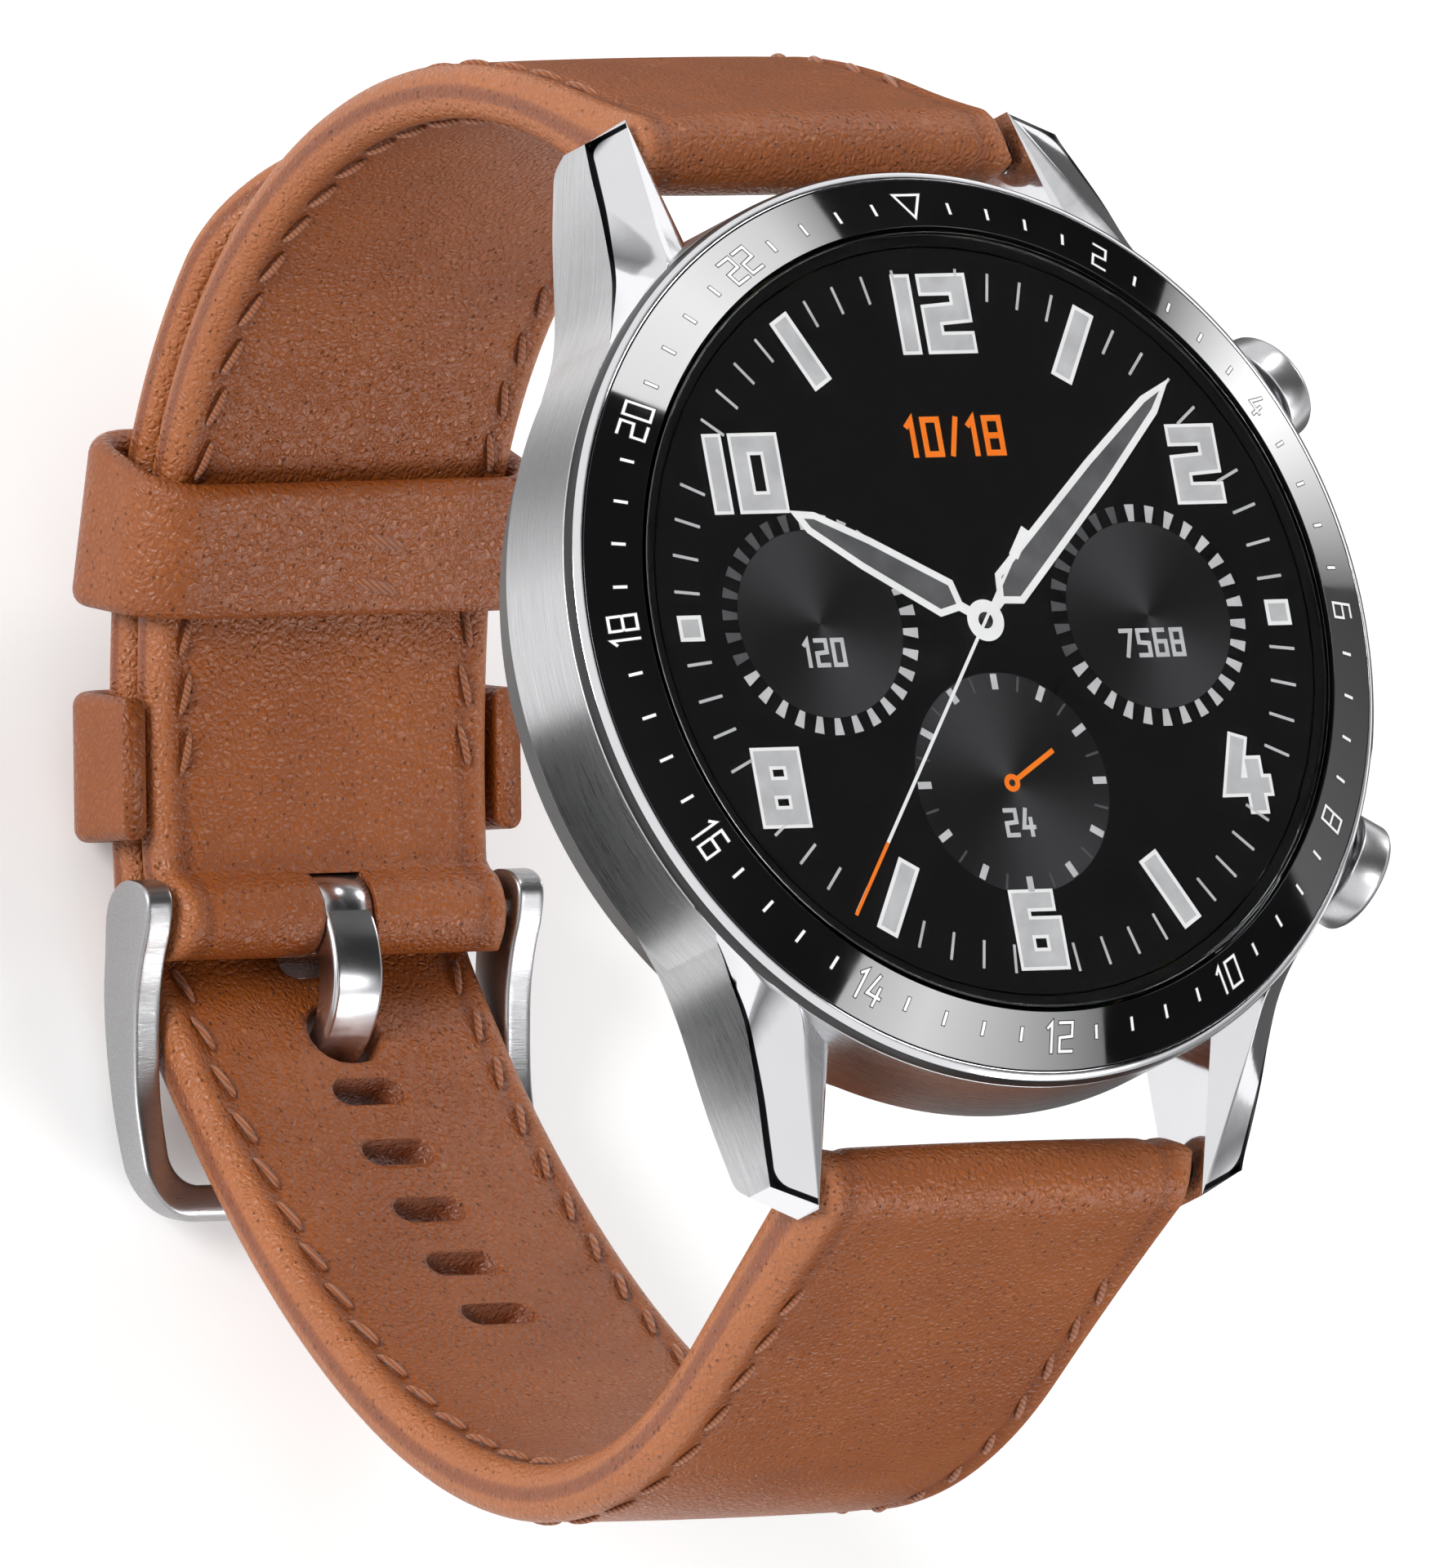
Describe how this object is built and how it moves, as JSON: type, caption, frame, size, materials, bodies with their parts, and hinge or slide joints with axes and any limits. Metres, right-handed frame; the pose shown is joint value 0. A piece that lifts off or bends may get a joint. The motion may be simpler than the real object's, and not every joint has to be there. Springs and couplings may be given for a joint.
{
  "type": "smartwatch",
  "caption": "Round smartwatch with side push buttons, lugs on spring bars and a buckled two-piece leather strap with keepers.",
  "frame": {"origin": "centre of the sensor window's flat face, the lowest face of the case, where it lies on the wrist or on a charger", "axes": "+X to 3 o'clock, where the buttons are, +Y to 12 o'clock, +Z out of the dial; the strap loop hangs below in -Z"},
  "size_m": [0.0465, 0.0732, 0.0665],
  "materials": {
    "glass": "clear, polished",
    "display": "black display with a lit analogue dial",
    "black_ceramic": "polished black with engraved hour marks",
    "black_plastic": "satin black",
    "brushed_steel": "brushed",
    "polished_steel": "polished",
    "leather": "brown grained leather with tan stitching",
    "rubber": "matt",
    "circuit_board": "green solder mask",
    "copper": "wound copper",
    "battery_foil": "satin foil"
  },
  "bodies": {
    "watch": {"front_glass": "glass", "glass_seal": "rubber", "display_panel": "display", "bezel_ring": "black_ceramic", "bezel_rim": "polished_steel", "case_body": "brushed_steel", "case_gasket": "rubber", "case_back": "black_plastic", "sensor_window": "glass", "sensor_board": "circuit_board", "charging_coil": "copper", "main_board": "circuit_board", "inner_frame": "black_plastic", "battery": "battery_foil", "speaker": "black_plastic", "vibration_motor": "battery_foil", "back_screw_1": "brushed_steel", "back_screw_2": "brushed_steel", "back_screw_3": "brushed_steel", "back_screw_4": "brushed_steel", "frame_screw_1": "brushed_steel", "frame_screw_2": "brushed_steel", "frame_screw_3": "brushed_steel", "upper_button_seal": "rubber", "upper_button_switch": "black_plastic", "lower_button_seal": "rubber", "lower_button_switch": "black_plastic", "upper_bar_tube": "brushed_steel", "upper_bar_spring": "brushed_steel", "lower_bar_tube": "brushed_steel", "lower_bar_spring": "brushed_steel", "strap_upper": "leather", "strap_lower": "leather", "fixed_keeper": "leather"},
    "upper_button": {"upper_button": "polished_steel", "upper_button_clip": "brushed_steel"},
    "lower_button": {"lower_button": "polished_steel", "lower_button_clip": "brushed_steel"},
    "upper_right_pin": {"upper_bar_right_pin": "brushed_steel"},
    "upper_left_pin": {"upper_bar_left_pin": "brushed_steel"},
    "lower_right_pin": {"lower_bar_right_pin": "brushed_steel"},
    "lower_left_pin": {"lower_bar_left_pin": "brushed_steel"},
    "free_keeper": {"free_keeper": "leather"},
    "buckle": {"buckle_frame": "polished_steel", "buckle_bar": "brushed_steel"},
    "tongue": {"buckle_tongue": "polished_steel"}
  },
  "joints": [
    {"name": "upper_button_press", "type": "slide", "parent": "watch", "child": "upper_button", "axis": [-0.866, -0.5, 0], "range_m": [0, 0.00035], "stiffness_N_per_m": 800, "springref_m": -0.0004},
    {"name": "lower_button_press", "type": "slide", "parent": "watch", "child": "lower_button", "axis": [-0.866, 0.5, 0], "range_m": [0, 0.00035], "stiffness_N_per_m": 800, "springref_m": -0.0004},
    {"name": "upper_right_pin_release", "type": "slide", "parent": "watch", "child": "upper_right_pin", "axis": [-1, 0, 0], "range_m": [0, 0.00115], "stiffness_N_per_m": 300, "springref_m": -0.001},
    {"name": "upper_left_pin_release", "type": "slide", "parent": "watch", "child": "upper_left_pin", "axis": [1, 0, 0], "range_m": [0, 0.00115], "stiffness_N_per_m": 300, "springref_m": -0.001},
    {"name": "lower_right_pin_release", "type": "slide", "parent": "watch", "child": "lower_right_pin", "axis": [-1, 0, 0], "range_m": [0, 0.00115], "stiffness_N_per_m": 300, "springref_m": -0.001},
    {"name": "lower_left_pin_release", "type": "slide", "parent": "watch", "child": "lower_left_pin", "axis": [1, 0, 0], "range_m": [0, 0.00115], "stiffness_N_per_m": 300, "springref_m": -0.001},
    {"name": "free_keeper_slide", "type": "hinge", "parent": "watch", "child": "free_keeper", "pos_m": [0, 0.00575, -0.02021], "axis": [1, 0, 0], "range_deg": [0, 25]},
    {"name": "buckle_tilt", "type": "hinge", "parent": "watch", "child": "buckle", "pos_m": [0, 0.00228, -0.05023], "axis": [1, 0, 0], "range_deg": [0, 2]},
    {"name": "tongue_tilt", "type": "hinge", "parent": "buckle", "child": "tongue", "pos_m": [0, 0.00228, -0.05023], "axis": [1, 0, 0], "range_deg": [0, 1]}
  ]
}
